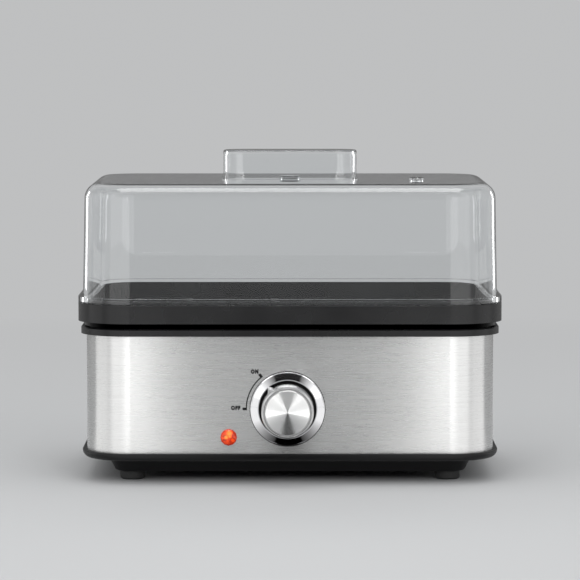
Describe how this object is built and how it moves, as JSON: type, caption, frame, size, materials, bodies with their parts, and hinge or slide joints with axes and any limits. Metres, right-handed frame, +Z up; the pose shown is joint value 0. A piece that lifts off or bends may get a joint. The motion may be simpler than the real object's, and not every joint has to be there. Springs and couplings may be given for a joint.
{
  "type": "electric egg cooker",
  "caption": "Rounded-box electric egg cooker: brushed steel base on rubber feet, front dial and lamp, black egg rack over a water pan, clear lift-off lid with a clear handle.",
  "frame": {"origin": "on the table, under the middle of the whole cooker's bounding box", "axes": "+Z up, -Y out of the front with the dial, +X to the right as seen from the front"},
  "size_m": [0.23, 0.167, 0.1777],
  "materials": {
    "sleeve_steel": "horizontally brushed stainless sheet",
    "body_black": "satin-gloss moulded black",
    "cover_black": "fine-grained moulded black",
    "rack_black": "gloss moulded black",
    "lid_clear": "clear gloss moulding",
    "handle_clear": "clear gloss moulding",
    "foot_rubber": "matt moulded rubber",
    "pan_coating": "dark non-stick coating on cast aluminium",
    "seal_silicone": "translucent grey silicone",
    "screw_zinc": "zinc-plated steel",
    "element_sheath": "heat-tinted sheath",
    "cutout_case": "drawn aluminium can",
    "bracket_steel": "pressed galvanised sheet",
    "fuse_case": "plated capsule",
    "switch_body": "moulded thermoset",
    "bezel_chrome": "polished",
    "nut_brass": "nickel-free turned brass",
    "knob_metal": "satin silver",
    "cap_spun": "spun with fine circles",
    "shaft_plastic": "natural nylon",
    "lens_red": "translucent orange-red",
    "clip_plastic": "natural nylon",
    "lamp_glass": "clear envelope",
    "holder_plastic": "natural nylon",
    "block_plastic": "natural nylon",
    "gland_plastic": "moulded black nylon",
    "wire_brown": "extruded insulation",
    "wire_black": "extruded insulation",
    "wire_white": "glass-fibre sleeving",
    "wire_blue": "extruded insulation",
    "wire_earth": "green and yellow striped insulation",
    "wire_red": "thin extruded insulation"
  },
  "bodies": {
    "base": {"steel_sleeve": "sleeve_steel", "top_frame": "body_black", "base_cover": "cover_black", "foot_front_left": "foot_rubber", "foot_front_right": "foot_rubber", "foot_rear_left": "foot_rubber", "foot_rear_right": "foot_rubber", "base_screws": "screw_zinc", "heating_plate": "pan_coating", "plate_seal": "seal_silicone", "plate_screws": "screw_zinc", "heating_element": "element_sheath", "thermal_cutout": "cutout_case", "cutout_bracket": "bracket_steel", "cutout_screws": "screw_zinc", "earth_screw": "screw_zinc", "thermal_fuse": "fuse_case", "rotary_switch": "switch_body", "dial_bezel": "bezel_chrome", "switch_nut": "nut_brass", "indicator_lens": "lens_red", "lens_clip": "clip_plastic", "indicator_lamp": "lamp_glass", "lamp_holder": "holder_plastic", "terminal_block": "block_plastic", "terminal_screws": "screw_zinc", "cord_gland": "gland_plastic", "gland_nut": "gland_plastic", "lead_live": "wire_brown", "lead_switch": "wire_black", "lead_cutout": "wire_white", "lead_element": "wire_white", "lead_neutral": "wire_blue", "lead_earth": "wire_earth", "lamp_leads": "wire_red"},
    "rack": {"egg_rack": "rack_black"},
    "lid": {"lid_shell": "lid_clear", "lid_handle": "handle_clear"},
    "dial": {"dial_knob": "knob_metal", "knob_face_cap": "cap_spun", "dial_shaft": "shaft_plastic"}
  },
  "joints": [
    {"name": "rack_lift", "type": "slide", "parent": "base", "child": "rack", "axis": [0, 0, 1], "range_m": [0, 0.05]},
    {"name": "lid_lift", "type": "slide", "parent": "rack", "child": "lid", "axis": [0, 0, 1], "range_m": [0, 0.07]},
    {"name": "dial_turn", "type": "hinge", "parent": "base", "child": "dial", "pos_m": [-0.0013, -0.064, 0.0409], "axis": [0, -1, 0], "range_deg": [0, 50]}
  ]
}
